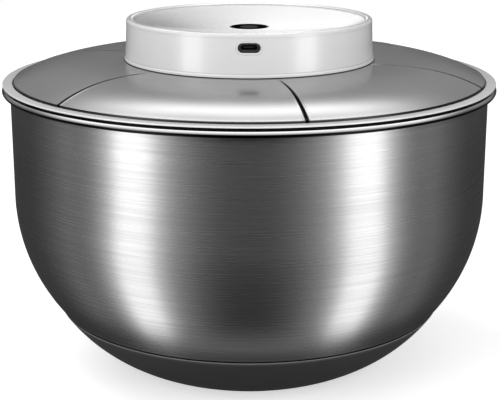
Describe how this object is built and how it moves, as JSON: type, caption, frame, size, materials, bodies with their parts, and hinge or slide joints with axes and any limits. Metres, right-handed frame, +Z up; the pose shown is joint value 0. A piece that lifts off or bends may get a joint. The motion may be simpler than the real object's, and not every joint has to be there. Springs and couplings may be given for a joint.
{
  "type": "rechargeable salad spinner",
  "caption": "Round steel bowl on a soft foot, with a slotted basket on a pivot post and a domed lid whose white hub holds the motor, battery, power button and charging port.",
  "frame": {"origin": "centre of the foot, on the surface that the bowl stands on", "axes": "+Z up along the spin axis; -Y is the front, where the charging port is; +X to the right"},
  "size_m": [0.2662, 0.2662, 0.1919],
  "materials": {
    "bowl_steel": "fine brushing round the bowl, satin sheen with bright vertical bands",
    "foot_silicone": "matt soft silicone",
    "lid_skin": "fine satin, with six shallow pressed creases",
    "white_plastic": "white moulded plastic with a soft gloss",
    "basket_plastic": "pale moulded plastic, fine satin grain",
    "grey_plastic": "pale grey moulded plastic",
    "dark_plastic": "dark moulded plastic, fine grain",
    "seal_rubber": "matt soft seal rubber",
    "turned_steel": "turned or drawn steel, bright",
    "acetal": "natural acetal",
    "gear_plastic": "natural nylon gear plastic",
    "board": "green solder mask",
    "cell_wrap": "shrink wrap",
    "lead_sleeve": "soft insulation"
  },
  "bodies": {
    "bowl": {"bowl": "bowl_steel", "foot_sleeve": "foot_silicone", "pivot_post": "turned_steel", "pivot_screw": "turned_steel"},
    "basket_bearing": {"pivot_bush": "acetal"},
    "basket": {"basket": "basket_plastic"},
    "lid": {"lid_dome": "lid_skin", "lid_base": "white_plastic", "lid_gasket": "seal_rubber", "shaft_bearing": "turned_steel", "shaft_seal": "seal_rubber", "upper_bush": "acetal", "idler_pin": "turned_steel", "gearbox_cover": "dark_plastic", "cover_screw_1": "turned_steel", "cover_screw_2": "turned_steel", "cover_screw_3": "turned_steel", "cover_screw_4": "turned_steel", "motor": "turned_steel", "motor_screw_1": "turned_steel", "motor_screw_2": "turned_steel", "motor_housing": "white_plastic", "housing_cap": "white_plastic", "button_spring": "turned_steel", "housing_screw_1": "turned_steel", "housing_screw_2": "turned_steel", "housing_screw_3": "turned_steel", "housing_screw_4": "turned_steel", "port_bezel": "white_plastic", "socket_shell": "turned_steel", "socket_tongue": "dark_plastic", "charge_board": "board", "control_board": "board", "tact_switch": "dark_plastic", "battery_cradle": "dark_plastic", "battery_cell": "cell_wrap", "board_screw_1": "turned_steel", "board_screw_2": "turned_steel", "motor_lead": "lead_sleeve", "battery_lead": "lead_sleeve", "charge_lead": "lead_sleeve"},
    "drive": {"drive_plate": "grey_plastic", "drive_plate_screw": "turned_steel", "output_shaft": "turned_steel", "output_gear": "gear_plastic"},
    "idler": {"idler_gear": "gear_plastic"},
    "motor_rotor": {"motor_shaft": "turned_steel", "motor_pinion": "turned_steel"},
    "button": {"power_button": "dark_plastic"}
  },
  "joints": [
    {"name": "basket_lift", "type": "slide", "parent": "bowl", "child": "basket_bearing", "axis": [0, 0, 1], "range_m": [0, 0.16]},
    {"name": "basket_spin", "type": "hinge", "parent": "basket_bearing", "child": "basket", "pos_m": [0, 0, 0], "axis": [0, 0, 1], "continuous": true},
    {"name": "lid_lift", "type": "slide", "parent": "basket_bearing", "child": "lid", "axis": [0, 0, 1], "range_m": [0, 0.07]},
    {"name": "drive_spin", "type": "hinge", "parent": "lid", "child": "drive", "pos_m": [0, 0, 0], "axis": [0, 0, 1], "continuous": true},
    {"name": "idler_spin", "type": "hinge", "parent": "lid", "child": "idler", "pos_m": [-0.02382, -0.01375, 0], "axis": [0, 0, 1], "continuous": true},
    {"name": "motor_spin", "type": "hinge", "parent": "lid", "child": "motor_rotor", "pos_m": [-0.02469, -0.03873, 0], "axis": [0, 0, 1], "continuous": true},
    {"name": "button_press", "type": "slide", "parent": "lid", "child": "button", "axis": [0, 0, -1], "range_m": [0, 0.0015], "stiffness_N_per_m": 600, "springref_m": -0.002, "deforming": ["button_spring"]}
  ],
  "couplings": [
    {"joint": "drive_spin", "follows": "basket_spin", "ratio": 1},
    {"joint": "idler_spin", "follows": "basket_spin", "ratio": -2.6667},
    {"joint": "motor_spin", "follows": "basket_spin", "ratio": 6.2222}
  ]
}
